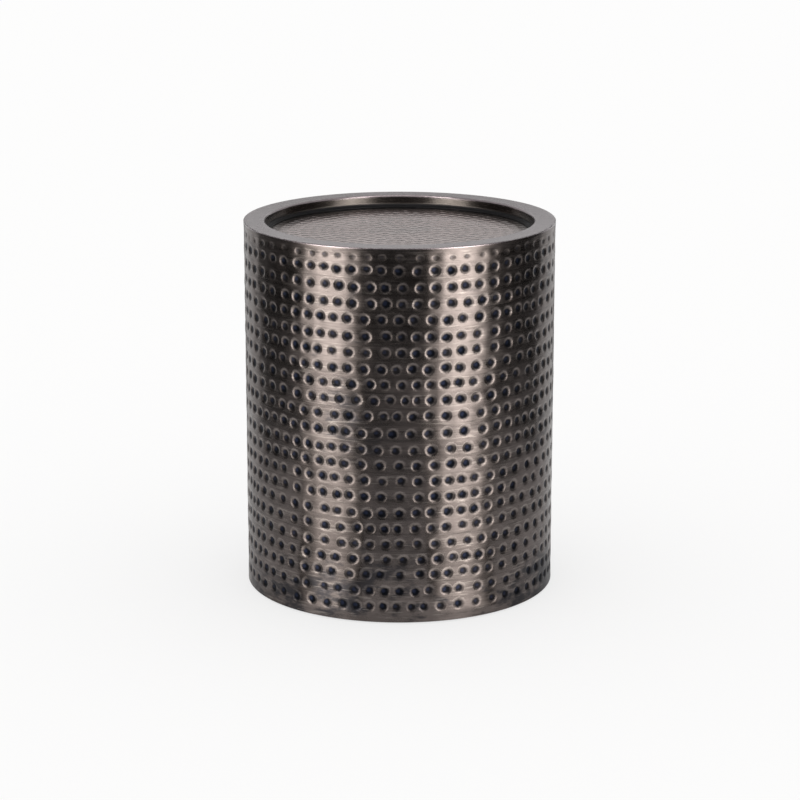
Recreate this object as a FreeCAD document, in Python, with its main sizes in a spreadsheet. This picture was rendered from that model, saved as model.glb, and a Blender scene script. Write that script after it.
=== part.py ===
import FreeCAD, Part
import math
import os
import Sketcher

# A drum side table of rolled sheet metal.
# The frame is +Z up, with the origin on the floor under the drum's axis and the wall's
# butt seam at the back, +Y. Millimetres throughout.

SIZES = {
    # the drum as a whole
    "drum_diameter": 414,
    "total_height": 495,
    # the rolled wall and its butt seam
    "wall_thickness": 1.2,
    "lower_edge_bevel": 0.4,
    "seam_gap": 3,
    "seam_crown": 0.8,
    # the spun rim ring: flat top, lip, well wall, foot and foot flange
    "rim_thickness": 1.5,
    "rim_width": 29,
    "rim_corner_bevel": 0.6,
    "lip_radius": 3,
    "well_depth": 14.5,
    "foot_radius": 3,
    "foot_flange": 3.5,
    # the tray floor, lapped under the foot flange
    "tray_thickness": 1.2,
    "tray_lap": 3,
    # the flat ring inside the lower edge
    "base_ring_width": 25,
    "base_ring_thickness": 3,
    "base_ring_recess": 2.5,
    "base_ring_fit_gap": 0.3,
    # the push-in rubber glides
    "glide_proud": 1.5,
    "glide_diameter": 20,
    "glide_edge_bevel": 1.5,
    "glide_neck_diameter": 8,
    "glide_hole_clearance": 0.2,
    "glide_barb_diameter": 11,
    "glide_barb_height": 7,
    "glide_tip_diameter": 6,
    # the stitch welds; a bead stands off a curved face by the clearance
    "stitch_count": 12,
    "stitch_length": 15,
    "rim_stitch_leg": 3,
    "tray_stitch_leg": 2,
    "base_stitch_leg": 2.2,
    "bead_clearance": 0.1,
}

GLIDE_PLACES = {"right": 0, "back": 90, "left": 180, "front": 270}

# Places that several pieces share, as expressions on the sheet of sizes.
OUTSIDE = "(Sizes.drum_diameter / 2)"
WALL_INSIDE = f"({OUTSIDE} - Sizes.wall_thickness)"
WALL_FOOT = "Sizes.glide_proud"
RIM_TOP = "Sizes.total_height"
RIM_UNDERSIDE = f"({RIM_TOP} - Sizes.rim_thickness)"
WELL_WALL = f"({OUTSIDE} - Sizes.rim_width)"
FLANGE_TOP = f"({RIM_TOP} - Sizes.well_depth)"
FLANGE_UNDERSIDE = f"({FLANGE_TOP} - Sizes.rim_thickness)"
FLANGE_EDGE = f"({WELL_WALL} - Sizes.foot_radius - Sizes.foot_flange)"
TRAY_EDGE = f"({FLANGE_EDGE} + Sizes.tray_lap)"
TRAY_UNDERSIDE = f"({FLANGE_UNDERSIDE} - Sizes.tray_thickness)"
RING_UNDERSIDE = f"({WALL_FOOT} + Sizes.base_ring_recess)"
RING_TOP = f"({RING_UNDERSIDE} + Sizes.base_ring_thickness)"
RING_EDGE = f"({WALL_INSIDE} - Sizes.base_ring_fit_gap)"
GLIDE_CIRCLE = f"({RING_EDGE} - Sizes.base_ring_width / 2)"

doc = FreeCAD.newDocument("DrumSideTable")
sheet = doc.addObject("Spreadsheet::Sheet", "Sizes")
for row, (alias, size) in enumerate(SIZES.items(), start=1):
    sheet.set(f"A{row}", alias)
    sheet.set(f"B{row}", str(size))
    sheet.setAlias(f"B{row}", alias)
doc.recompute()


def value_of(expression):
    """What an expression on the sheet comes to."""
    return float(sheet.evalExpression(expression))


def new_body(label):
    """An empty body, named for its piece."""
    body = doc.addObject("PartDesign::Body", label)
    body.Label = label
    return body


def origin_feature(body, role):
    """One of the body's own origin planes or axes."""
    return next(f for f in body.Origin.OriginFeatures if f.Role == role)


def new_sketch(body, plane, name, lift=None):
    """A sketch on one of the body's origin planes, or lifted off it by an expression."""
    sketch = body.newObject("Sketcher::SketchObject", f"{body.Name}_{name}")
    sketch.AttachmentSupport = (origin_feature(body, plane), [""])
    sketch.MapMode = "FlatFace"
    if lift:
        sketch.setExpression("AttachmentOffset.Base.z", lift)
    return sketch


def drive(sketch, constraint, expression):
    """Adds a dimension to the sketch and ties it to the sheet."""
    index = sketch.addConstraint(constraint)
    sketch.setExpression(f"Constraints[{index}]", expression)


def place_point(sketch, geometry, end, x, y):
    """Fixes a point's two coordinates; a coordinate of 0 puts it on the sketch's axis."""
    for kind, axis, expression in (("DistanceX", -2, x), ("DistanceY", -1, y)):
        if expression == "0":
            sketch.addConstraint(Sketcher.Constraint("PointOnObject", geometry, end, axis))
        else:
            dimension = Sketcher.Constraint(kind, geometry, end, value_of(expression))
            drive(sketch, dimension, expression)


def outline(sketch, corners):
    """A closed outline of straight sides, given by its corners in order.

    Each corner is (x, y) or (x, y, radius), all expressions. A radius rounds the corner
    with an arc tangent to both sides, and the corner itself stays as a construction point.
    """
    points = [FreeCAD.Vector(value_of(c[0]), value_of(c[1]), 0) for c in corners]
    starts, ends, arcs = [], [], []
    for i, corner in enumerate(corners):
        here = points[i]
        back = (points[i - 1] - here).normalize()
        ahead = (points[(i + 1) % len(points)] - here).normalize()
        if len(corner) == 2:
            starts.append(here)
            ends.append(here)
            arcs.append(None)
            continue
        radius = value_of(corner[2])
        half = back.getAngle(ahead) / 2
        setback = radius / math.tan(half)
        centre = here + (back + ahead).normalize() * (radius / math.sin(half))
        first = here + back * setback
        last = here + ahead * setback
        turns_left = back.cross(ahead).z < 0
        swing = (first, last) if turns_left else (last, first)
        angles = [math.atan2(p.y - centre.y, p.x - centre.x) for p in swing]
        circle = Part.Circle(centre, FreeCAD.Vector(0, 0, 1), radius)
        arcs.append((Part.ArcOfCircle(circle, *angles), turns_left))
        ends.append(first)
        starts.append(last)
    count = len(corners)
    sides = []
    for i in range(count):
        side = Part.LineSegment(starts[i], ends[(i + 1) % count])
        sides.append(sketch.addGeometry(side))
    for i, corner in enumerate(corners):
        before, after = sides[i - 1], sides[i]
        if arcs[i] is None:
            sketch.addConstraint(Sketcher.Constraint("Coincident", before, 2, after, 1))
            place_point(sketch, after, 1, corner[0], corner[1])
            continue
        arc, turns_left = arcs[i]
        bend = sketch.addGeometry(arc)
        enter, leave = (1, 2) if turns_left else (2, 1)
        sketch.addConstraint(Sketcher.Constraint("Tangent", before, 2, bend, enter))
        sketch.addConstraint(Sketcher.Constraint("Tangent", bend, leave, after, 1))
        drive(sketch, Sketcher.Constraint("Radius", bend, value_of(corner[2])), corner[2])
        tip = sketch.addGeometry(Part.Point(points[i]), True)
        sketch.addConstraint(Sketcher.Constraint("PointOnObject", tip, 1, before))
        sketch.addConstraint(Sketcher.Constraint("PointOnObject", tip, 1, after))
        place_point(sketch, tip, 1, corner[0], corner[1])


def circle_in(sketch, x, y, radius):
    """A circle whose centre and radius follow the sheet."""
    centre = FreeCAD.Vector(value_of(x), value_of(y), 0)
    ring = sketch.addGeometry(Part.Circle(centre, FreeCAD.Vector(0, 0, 1), value_of(radius)))
    if x == "0" and y == "0":
        sketch.addConstraint(Sketcher.Constraint("Coincident", ring, 3, -1, 1))
    else:
        place_point(sketch, ring, 3, x, y)
    drive(sketch, Sketcher.Constraint("Radius", ring, value_of(radius)), radius)


def revolve(body, corners, name, angle=None):
    """Turns an outline, drawn as radius and height, about the body's upright axis.

    With an angle, the turn is centred on the body's own +X.
    """
    sketch = new_sketch(body, "XZ_Plane", f"{name}_outline")
    outline(sketch, corners)
    turn = body.newObject("PartDesign::Revolution", f"{body.Name}_{name}")
    turn.Profile = sketch
    turn.ReferenceAxis = (sketch, ["V_Axis"])
    turn.Angle = 360
    if angle:
        turn.Midplane = True
        turn.setExpression("Angle", angle)
    return turn


def turn_about_axis(body, degrees):
    """Turns a finished body about the drum's axis."""
    upright = FreeCAD.Vector(0, 0, 1)
    body.Placement = FreeCAD.Placement(FreeCAD.Vector(), FreeCAD.Rotation(upright, degrees))


def repeat_round(body, feature, count):
    """Repeats a feature evenly round the drum's axis."""
    pattern = body.newObject("PartDesign::PolarPattern", f"{body.Name}_pattern")
    pattern.Originals = [feature]
    pattern.Axis = (origin_feature(body, "Z_Axis"), [""])
    pattern.Angle = 360
    pattern.setExpression("Occurrences", count)
    body.Tip = pattern


def arc_angle(length, radius):
    """The angle, in degrees, that a length takes up at a radius."""
    return f"{length} / {radius} * 180 / pi"


def stitch_welds(label, corners, radius):
    """A ring of short fillet welds, spread so that none lies on the butt seam."""
    body = new_body(label)
    body.AllowCompound = True
    bead = revolve(body, corners, "bead", arc_angle("Sizes.stitch_length", radius))
    repeat_round(body, bead, "Sizes.stitch_count")
    turn_about_axis(body, value_of("180 / Sizes.stitch_count"))
    return body


# The wall: one sheet rolled round, its two edges a weld gap apart at the back.
SEAM_ANGLE = arc_angle("Sizes.seam_gap", OUTSIDE)
EASED_FOOT = f"({WALL_FOOT} + Sizes.lower_edge_bevel)"
drum_shell = new_body("drum_shell")
revolve(
    drum_shell,
    [
        (WALL_INSIDE, EASED_FOOT),
        (f"{WALL_INSIDE} + Sizes.lower_edge_bevel", WALL_FOOT),
        (f"{OUTSIDE} - Sizes.lower_edge_bevel", WALL_FOOT),
        (OUTSIDE, EASED_FOOT),
        (OUTSIDE, RIM_UNDERSIDE),
        (WALL_INSIDE, RIM_UNDERSIDE),
    ],
    "rolled_sheet",
    f"360 - {SEAM_ANGLE}",
)
turn_about_axis(drum_shell, -90)

# The butt weld: it fills the gap, is flush outside, and is crowned inside wherever the
# base ring doesn't seat.
shell_seam_weld = new_body("shell_seam_weld")
revolve(
    shell_seam_weld,
    [
        (WALL_INSIDE, WALL_FOOT),
        (OUTSIDE, WALL_FOOT),
        (OUTSIDE, RIM_UNDERSIDE),
        (WALL_INSIDE, RIM_UNDERSIDE),
    ],
    "root",
    SEAM_ANGLE,
)
CROWN_START = f"({RING_TOP} + Sizes.base_ring_thickness)"
CROWN_HALF = "(Sizes.seam_gap / 2 - Sizes.bead_clearance)"
CROWN_PEAK = f"({WALL_INSIDE} - Sizes.seam_crown)"
CROWN_ROOT = f"({WALL_INSIDE} + Sizes.wall_thickness / 2)"
crown_outline = new_sketch(shell_seam_weld, "XY_Plane", "crown_outline", CROWN_START)
outline(
    crown_outline,
    [
        (CROWN_PEAK, f"-{CROWN_HALF}", "Sizes.seam_crown"),
        (CROWN_ROOT, f"-{CROWN_HALF}"),
        (CROWN_ROOT, CROWN_HALF),
        (CROWN_PEAK, CROWN_HALF, "Sizes.seam_crown"),
    ],
)
crown = shell_seam_weld.newObject("PartDesign::Pad", "shell_seam_weld_crown")
crown.Profile = crown_outline
crown.setExpression("Length", f"{RIM_UNDERSIDE} - {CROWN_START}")
turn_about_axis(shell_seam_weld, 90)

# The rim ring, spun in one piece: flat top out to the full diameter, rounded lip, well
# wall, foot radius and a narrow flange that laps over the tray floor.
# The far side of each bend is a flat that touches the arc the bend would have there, so
# the sheet keeps its thickness through it.
rim_ring = new_body("rim_ring")
WELL_BACK = f"({WELL_WALL} + Sizes.rim_thickness)"
FLAT_SHARE = "(2 - sqrt(2))"
LIP_FLAT = f"({FLAT_SHARE} * (Sizes.lip_radius - Sizes.rim_thickness))"
FOOT_FLAT = f"({FLAT_SHARE} * (Sizes.foot_radius + Sizes.rim_thickness))"
revolve(
    rim_ring,
    [
        (OUTSIDE, RIM_UNDERSIDE),
        (OUTSIDE, f"{RIM_TOP} - Sizes.rim_corner_bevel"),
        (f"{OUTSIDE} - Sizes.rim_corner_bevel", RIM_TOP),
        (WELL_WALL, RIM_TOP, "Sizes.lip_radius"),
        (WELL_WALL, FLANGE_TOP, "Sizes.foot_radius"),
        (FLANGE_EDGE, FLANGE_TOP),
        (FLANGE_EDGE, FLANGE_UNDERSIDE),
        (f"{WELL_BACK} - {FOOT_FLAT}", FLANGE_UNDERSIDE),
        (WELL_BACK, f"{FLANGE_UNDERSIDE} + {FOOT_FLAT}"),
        (WELL_BACK, f"{RIM_UNDERSIDE} - {LIP_FLAT}"),
        (f"{WELL_BACK} + {LIP_FLAT}", RIM_UNDERSIDE),
    ],
    "spun_section",
)

# Fillet welds in the corner between the wall and the rim ring's underside.
RIM_BEAD_FACE = f"({WALL_INSIDE} - Sizes.bead_clearance)"
rim_weld_stitches = stitch_welds(
    "rim_weld_stitches",
    [
        (RIM_BEAD_FACE, RIM_UNDERSIDE),
        (f"{RIM_BEAD_FACE} - Sizes.rim_stitch_leg", RIM_UNDERSIDE),
        (RIM_BEAD_FACE, f"{RIM_UNDERSIDE} - Sizes.rim_stitch_leg"),
    ],
    WALL_INSIDE,
)

# The tray floor: a flat disc under the foot flange.
tray_floor = new_body("tray_floor")
tray_outline = new_sketch(tray_floor, "XY_Plane", "outline", TRAY_UNDERSIDE)
circle_in(tray_outline, "0", "0", TRAY_EDGE)
disc = tray_floor.newObject("PartDesign::Pad", "tray_floor_disc")
disc.Profile = tray_outline
disc.setExpression("Length", "Sizes.tray_thickness")

# Fillet welds round the disc's edge, up against the flange's underside.
TRAY_BEAD_FACE = f"({TRAY_EDGE} + Sizes.bead_clearance)"
tray_weld_stitches = stitch_welds(
    "tray_weld_stitches",
    [
        (TRAY_BEAD_FACE, FLANGE_UNDERSIDE),
        (TRAY_BEAD_FACE, TRAY_UNDERSIDE),
        (f"{TRAY_BEAD_FACE} + Sizes.tray_stitch_leg", FLANGE_UNDERSIDE),
    ],
    TRAY_EDGE,
)

# The base ring: a flat ring cut from plate, with a hole for each glide.
base_ring = new_body("base_ring")
ring_outline = new_sketch(base_ring, "XY_Plane", "outline", RING_UNDERSIDE)
circle_in(ring_outline, "0", "0", RING_EDGE)
circle_in(ring_outline, "0", "0", f"{RING_EDGE} - Sizes.base_ring_width")
flat_ring = base_ring.newObject("PartDesign::Pad", "base_ring_plate")
flat_ring.Profile = ring_outline
flat_ring.setExpression("Length", "Sizes.base_ring_thickness")
hole_outline = new_sketch(base_ring, "XY_Plane", "glide_hole", RING_UNDERSIDE)
GLIDE_HOLE = "Sizes.glide_neck_diameter / 2 + Sizes.glide_hole_clearance"
circle_in(hole_outline, GLIDE_CIRCLE, "0", GLIDE_HOLE)
glide_hole = base_ring.newObject("PartDesign::Pocket", "base_ring_glide_hole")
glide_hole.Profile = hole_outline
glide_hole.Type = "ThroughAll"
glide_hole.Reversed = True
repeat_round(base_ring, glide_hole, str(len(GLIDE_PLACES)))

# Fillet welds from below, between the base ring and the wall.
base_weld_stitches = stitch_welds(
    "base_weld_stitches",
    [
        (RIM_BEAD_FACE, RING_UNDERSIDE),
        (RIM_BEAD_FACE, f"{RING_UNDERSIDE} - Sizes.base_stitch_leg"),
        (f"{RIM_BEAD_FACE} - Sizes.base_stitch_leg", RING_UNDERSIDE),
    ],
    WALL_INSIDE,
)

# The floor glides: a rubber cushion under the base ring, a neck through its hole and a
# barb that snaps out above it.
BARB_TOP = f"({RING_TOP} + Sizes.glide_barb_height)"
floor_glides = []
for place, degrees in GLIDE_PLACES.items():
    glide = new_body(f"floor_glide_{place}")
    revolve(
        glide,
        [
            ("0", "0"),
            ("Sizes.glide_diameter / 2 - Sizes.glide_edge_bevel", "0"),
            ("Sizes.glide_diameter / 2", "Sizes.glide_edge_bevel"),
            ("Sizes.glide_diameter / 2", RING_UNDERSIDE),
            ("Sizes.glide_neck_diameter / 2", RING_UNDERSIDE),
            ("Sizes.glide_neck_diameter / 2", RING_TOP),
            ("Sizes.glide_barb_diameter / 2", RING_TOP),
            ("Sizes.glide_tip_diameter / 2", BARB_TOP),
            ("0", BARB_TOP),
        ],
        "moulding",
    )
    glide.setExpression("Placement.Base.x", f"{GLIDE_CIRCLE} * cos({degrees} deg)")
    glide.setExpression("Placement.Base.y", f"{GLIDE_CIRCLE} * sin({degrees} deg)")
    floor_glides.append(glide)

doc.recompute()

for item in doc.Objects:
    if "Invalid" in item.State or "Error" in item.State:
        raise RuntimeError(f"{item.Name} failed to build")

plate_volume = flat_ring.Shape.Volume
hole_area = math.pi * value_of(GLIDE_HOLE) ** 2
holes_volume = hole_area * value_of("Sizes.base_ring_thickness") * len(GLIDE_PLACES)
if abs(plate_volume - base_ring.Shape.Volume - holes_volume) > 0.01 * holes_volume:
    raise RuntimeError("the glide holes don't go through the base ring")

os.makedirs("parts", exist_ok=True)
for body in doc.findObjects("PartDesign::Body"):
    shape = body.Shape
    if shape.isNull() or not shape.isValid() or not shape.Solids:
        raise RuntimeError(f"{body.Label} has no sound solid")
    shape.exportStep(os.path.join("parts", f"{body.Label}.step"))
    print(body.Label, len(shape.Solids), "solid(s),", round(shape.Volume), "mm3")
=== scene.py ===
# %% [markdown]
# # A hammered drum side table
# The table is a drum of sheet metal: a wall hammered in rows of round dimples and rolled
# into a cylinder, a spun ring round the top, and a hammered tray floor inside that ring.
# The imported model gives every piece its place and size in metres. This script keeps those
# places and makes the surfaces that a plain solid can't show.

# %% Load the frame
import math
import random

import bmesh
import bpy
from mathutils import Matrix, Vector, kdtree, noise


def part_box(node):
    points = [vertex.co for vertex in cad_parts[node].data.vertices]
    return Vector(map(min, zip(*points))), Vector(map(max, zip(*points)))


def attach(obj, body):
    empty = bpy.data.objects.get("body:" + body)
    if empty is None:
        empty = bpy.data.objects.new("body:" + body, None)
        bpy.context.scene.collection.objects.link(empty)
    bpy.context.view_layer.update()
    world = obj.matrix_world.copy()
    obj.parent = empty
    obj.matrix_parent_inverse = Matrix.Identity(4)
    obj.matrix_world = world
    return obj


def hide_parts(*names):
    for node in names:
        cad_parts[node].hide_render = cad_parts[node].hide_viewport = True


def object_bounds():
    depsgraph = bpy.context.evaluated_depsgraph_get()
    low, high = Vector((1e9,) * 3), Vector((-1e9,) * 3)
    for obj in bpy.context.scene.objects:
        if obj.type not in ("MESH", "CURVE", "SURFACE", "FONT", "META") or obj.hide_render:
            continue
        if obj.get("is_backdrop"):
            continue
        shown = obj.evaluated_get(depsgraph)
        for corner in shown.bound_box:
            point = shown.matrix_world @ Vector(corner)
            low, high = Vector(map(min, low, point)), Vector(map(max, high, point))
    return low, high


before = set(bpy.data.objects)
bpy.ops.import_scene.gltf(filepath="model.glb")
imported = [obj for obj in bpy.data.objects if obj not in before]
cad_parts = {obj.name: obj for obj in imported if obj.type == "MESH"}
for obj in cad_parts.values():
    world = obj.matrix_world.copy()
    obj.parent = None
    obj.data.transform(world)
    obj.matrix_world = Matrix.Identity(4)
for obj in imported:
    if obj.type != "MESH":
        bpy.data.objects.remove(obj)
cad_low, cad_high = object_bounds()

MM = 0.001
TURN = 2 * math.pi
print("drum is", [round(x / MM, 1) for x in cad_high - cad_low], "mm")

# %% [markdown]
# ## Camera
# A long lens from a little over three metres keeps the drum's sides nearly upright and
# still lets the tray show as a narrow ellipse. The camera stands in front of the drum's
# axis, about a metre up, and tilts down.

# %% Camera
CAMERA_PLACE = (0.0005, -3.400, 1.1265)
CAMERA_TILT_DOWN = math.radians(14.514)
CAMERA_LENS_MM = 117.0
CAMERA_SENSOR_MM = 36

camera_data = bpy.data.cameras.new("camera")
camera_data.lens = CAMERA_LENS_MM
camera_data.sensor_width = CAMERA_SENSOR_MM
camera = bpy.data.objects.new("camera", camera_data)
camera.location = CAMERA_PLACE
camera.rotation_euler = (math.radians(90) - CAMERA_TILT_DOWN, 0, 0)
bpy.context.scene.collection.objects.link(camera)
bpy.context.scene.camera = camera
bpy.context.scene.view_settings.view_transform = "Standard"
print("camera at", CAMERA_PLACE, "lens", CAMERA_LENS_MM, "mm")


# %% [markdown]
# ## Small helpers
# A piece is worked in a bmesh and becomes an object at the origin, because its place is
# in its mesh. Shader trees get short too: one helper adds a node and feeds its inputs,
# and the others write the sums that every finish needs. A socket knows the tree it is
# in, so the sums take sockets and numbers and find the tree by themselves.

# %% Mesh helper
def new_object(name, bm, material):
    """Turns a bmesh into an object at the origin and frees the bmesh."""
    mesh = bpy.data.meshes.new(name)
    bm.to_mesh(mesh)
    bm.free()
    mesh.materials.append(material)
    made = bpy.data.objects.new(name, mesh)
    bpy.context.scene.collection.objects.link(made)
    return made


# %% Node helpers
def new_material(name):
    """A material with nodes; returns it, its tree and its shader."""
    material = bpy.data.materials.new(name)
    material.use_nodes = True
    tree = material.node_tree
    return material, tree, tree.nodes["Principled BSDF"]


def feed(value, socket):
    """Puts a value on a socket: a link from another socket, a number or a colour."""
    if isinstance(value, bpy.types.NodeSocket):
        socket.id_data.links.new(value, socket)
    elif isinstance(value, tuple) and len(value) == 3 and socket.type == "RGBA":
        socket.default_value = (*value, 1)
    else:
        socket.default_value = value


def add_node(tree, kind, given=(), **settings):
    """Adds a node, sets the properties named in settings and feeds the given inputs."""
    node = tree.nodes.new("ShaderNode" + kind)
    for key, value in settings.items():
        setattr(node, key, value)
    for label, value in dict(given).items():
        feed(value, node.inputs[label])
    return node


def object_place(tree):
    """The place on the object, in metres."""
    return add_node(tree, "TexCoord").outputs["Object"]


def attribute(tree, name):
    """A number that the mesh carries for each vertex or face."""
    return add_node(tree, "Attribute", attribute_name=name).outputs["Fac"]


# %% Sums over sockets
def maths(operation, *values, kind="Math"):
    """A math node over sockets and plain numbers; returns its output."""
    tree = next(value.id_data for value in values if isinstance(value, bpy.types.NodeSocket))
    node = add_node(tree, kind, operation=operation)
    for socket, value in zip((s for s in node.inputs if s.enabled), values):
        feed(value, socket)
    return next(s for s in node.outputs if s.enabled)


def vector_maths(operation, *values):
    """The same over vectors; a length or a distance comes out as a number."""
    return maths(operation, *values, kind="VectorMath")


def times(first, second):
    return maths("MULTIPLY", first, second)


def one_minus(value):
    return maths("SUBTRACT", 1.0, value)


def split(vector):
    """The X, Y and Z of a vector, as sockets."""
    return add_node(vector.id_data, "SeparateXYZ", {0: vector}).outputs


def soft_step(value, low, high):
    """0 at low, 1 at high and beyond, and smooth between them."""
    given = {"Value": value, "From Min": low, "From Max": high}
    return add_node(value.id_data, "MapRange", given, interpolation_type="SMOOTHSTEP").outputs[0]


def blend_colour(share, first, second):
    """first where share is 0, second where it is 1."""
    return add_node(share.id_data, "Mix", {0: share, 6: first, 7: second}, data_type="RGBA").outputs[2]


def tinted(colour, other, mask, share):
    """A colour turned towards another one by a share of a mask."""
    return blend_colour(times(mask, share), colour, other)


def cloudy(vector, scale, detail):
    """Cloudy noise from 0 to 1, with about as many lumps per metre as the scale says."""
    given = {"Vector": vector, "Scale": scale, "Detail": detail}
    return add_node(vector.id_data, "TexNoise", given).outputs["Fac"]


# %% [markdown]
# ## Studio
# Polished metal shows the room more than its own colour, so the room is built for it.
# The floor and the sky are pale and light everything evenly. To the lens alone the floor
# is part white, which gives a pale ground without more light on the metal.

# %% Floor and sky
FLOOR_RADIUS = 40.0
FLOOR_SIDES = 96
FLOOR_PALE = 0.95
FLOOR_WHITENED = 0.65
SKY_COLOUR = (1.0, 0.995, 0.99, 1)


def matt_material(name, shade):
    """A grey without any shine; returns the material, its tree and its shader."""
    material, tree, shader = new_material(name)
    feed((shade, shade, shade), shader.inputs["Base Color"])
    feed(1.0, shader.inputs["Roughness"])
    feed(0.0, shader.inputs["Specular IOR Level"])
    return material, tree, shader


floor_bm = bmesh.new()
bmesh.ops.create_circle(floor_bm, cap_ends=True, segments=FLOOR_SIDES, radius=FLOOR_RADIUS)
floor_material, tree, shader = matt_material("studio_floor", FLOOR_PALE)
studio_floor = new_object("studio_floor", floor_bm, floor_material)
studio_floor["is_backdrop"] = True

white = add_node(tree, "Emission")
is_camera = add_node(tree, "LightPath").outputs["Is Camera Ray"]
given = {0: times(is_camera, FLOOR_WHITENED), 1: shader.outputs[0], 2: white.outputs[0]}
whitened = add_node(tree, "MixShader", given)
feed(whitened.outputs[0], tree.nodes["Material Output"].inputs["Surface"])

world = bpy.data.worlds.new("studio_sky")
bpy.context.scene.world = world
world.use_nodes = True
sky = world.node_tree.nodes["Background"]
sky.inputs["Color"].default_value = SKY_COLOUR
sky.inputs["Strength"].default_value = 1.0

# %% [markdown]
# The soft boxes draw the bright lines on the ring, and light linking gives them to the
# ring alone. Two high ones and one overhead draw the line along its lip. Two low ones
# draw the bright patches inside the well. The drum itself stands between those and the
# well, so only the floor may block them. All of them work in reflections only, so they
# leave no patches on the floor.

# %% Soft boxes
BOX_DISTANCE = 1.4
BOX_BEARINGS = {"left": -48, "right": 45}
LIP_BOX = {"width": 0.50, "low": 1.50, "high": 2.90, "glow": 40}
WELL_BOX = {"width": 0.42, "low": 0.06, "high": 0.40, "glow": 130}
TOP_BOX = {"width": 1.2, "low": 0, "high": 1.2, "glow": 6}
TOP_BOX_HEIGHT = 2.6
WARM_WHITE = (1.0, 0.965, 0.92)

lit_ring = bpy.data.collections.new("lit_ring")
not_tray = bpy.data.collections.new("not_tray")
only_floor = bpy.data.collections.new("only_floor")
only_floor.objects.link(studio_floor)


def towards(bearing):
    """The level direction at a bearing from the drum: 0 is the front, 90 the right."""
    angle = math.radians(bearing)
    return Vector((math.sin(angle), -math.cos(angle), 0))


def soft_box(name, bearing, width, low, high, glow):
    """An upright lamp that only the ring mirrors; its glow is watts per square metre."""
    data = bpy.data.lights.new(name, "AREA")
    data.shape = "RECTANGLE"
    data.size = width
    data.size_y = high - low
    data.energy = glow * width * (high - low)
    data.color = WARM_WHITE
    lamp = bpy.data.objects.new(name, data)
    lamp.location = BOX_DISTANCE * towards(bearing) + Vector((0, 0, (low + high) / 2))
    lamp.rotation_euler = (math.radians(90), 0, math.radians(bearing))
    lamp.visible_camera = False
    lamp.visible_diffuse = False
    lamp.light_linking.receiver_collection = lit_ring
    bpy.context.scene.collection.objects.link(lamp)
    return lamp


for side_name, bearing in BOX_BEARINGS.items():
    soft_box(side_name + "_lip_box", bearing, **LIP_BOX)
    well_box = soft_box(side_name + "_well_box", bearing, **WELL_BOX)
    well_box.light_linking.blocker_collection = only_floor
top_box = soft_box("top_box", 0, **TOP_BOX)
top_box.location = (0, 0, TOP_BOX_HEIGHT)
top_box.rotation_euler = (0, 0, 0)

# %% [markdown]
# The two stripes down the wall run right to its foot, so what they mirror starts at the
# drum: a glowing strip on the floor and a box standing at its end. A round wall shows
# things smaller the further off they are, by 1 + 2 x distance / radius, so a strip that
# widens at that rate gives a stripe of one width. The glow fades towards both sides, as
# behind a diffuser, and so the stripes have soft shoulders. It rises with height, because
# the stripes are brightest under the rim. Light linking leaves the tray out, where the
# boxes would lie as two white bars when the drum is seen from behind.

# %% Stripe lights
DRUM_RADIUS = cad_high.x
STRIP_START = 0.02
STRIP_END = 1.15
STRIP_SHARE = 0.47
BOX_TOP = 0.66
HIGHER_GLOW = 0.7
HIGHER_FROM = 0.20
HIGHER_TO = 0.45
CLEAR_OF_FLOOR = 0.005
STRIPES = (("left", -25.6, 0.049, 5.2), ("right", 22.2, 0.049, 6.1))


def reflected_only(made):
    """Marks a stage object that neither the lens nor the floor sees."""
    made.visible_camera = False
    made.visible_diffuse = False
    made.visible_shadow = False
    made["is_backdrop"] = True


def glowing_sheet(name, glow):
    """A material whose glow fades from the sheet's middle line to its sides."""
    material, tree, shader = matt_material(name, 0.0)
    feed(WARM_WHITE, shader.inputs["Emission Color"])
    side = attribute(tree, "side")
    fade = one_minus(times(side, side))
    higher = soft_step(split(object_place(tree))["Z"], HIGHER_FROM, HIGHER_TO)
    brighter = maths("MULTIPLY_ADD", higher, HIGHER_GLOW, 1.0)
    fade = times(times(fade, fade), brighter)
    feed(times(fade, glow), shader.inputs["Emission Strength"])
    return material


def stripe_light(name, bearing, half_width, start, end, glow):
    """A glowing sheet between two (distance, height) points, mirrored at a wall bearing."""
    foot = DRUM_RADIUS * towards(bearing)
    to_camera = Vector(CAMERA_PLACE) - foot
    out = 2 * bearing + math.degrees(math.atan2(-to_camera.x, -to_camera.y))
    start, end = Vector(start), Vector(end)
    bm = bmesh.new()
    side_layer = bm.verts.layers.float.new("side")
    bmesh.ops.create_grid(bm, x_segments=12, y_segments=32, size=1)
    for v in bm.verts:
        v[side_layer] = v.co.x
        distance, height = start.lerp(end, (v.co.y + 1) / 2)
        aside = v.co.x * half_width * (1 + 2 * distance / DRUM_RADIUS)
        spot = foot + distance * towards(out) + aside * towards(out + 90)
        spot *= max(1, (DRUM_RADIUS + CLEAR_OF_FLOOR) / spot.length)
        v.co = (spot.x, spot.y, height + 2 * CLEAR_OF_FLOOR)
    sheet = new_object(name, bm, glowing_sheet(name, glow))
    sheet.light_linking.receiver_collection = not_tray
    reflected_only(sheet)


for side_name, bearing, half_width, glow in STRIPES:
    low_box = ((STRIP_END, 0), (STRIP_END, BOX_TOP), glow)
    strip = ((STRIP_START, 0), (STRIP_END, 0), STRIP_SHARE * glow)
    stripe_light(side_name + "_low_box", bearing, half_width, *low_box)
    stripe_light(side_name + "_strip", bearing, half_width, *strip)


# %% [markdown]
# Dark screens give the metal its depth. A high one stands round the front and the sides
# and keeps the well dark, and a lower one at the back darkens only the horizon that the
# tray shows. Pale gaps between them brighten the drum's two edges. On the floor lie mats
# that darken away from the drum, and the lower slopes of the blows catch the pale floor
# inside them. The mats at the sides start further out than the one in front, and a plain
# one behind the drum tones down its edges. The lens doesn't see any of these, and they
# cast no shadow.

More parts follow.
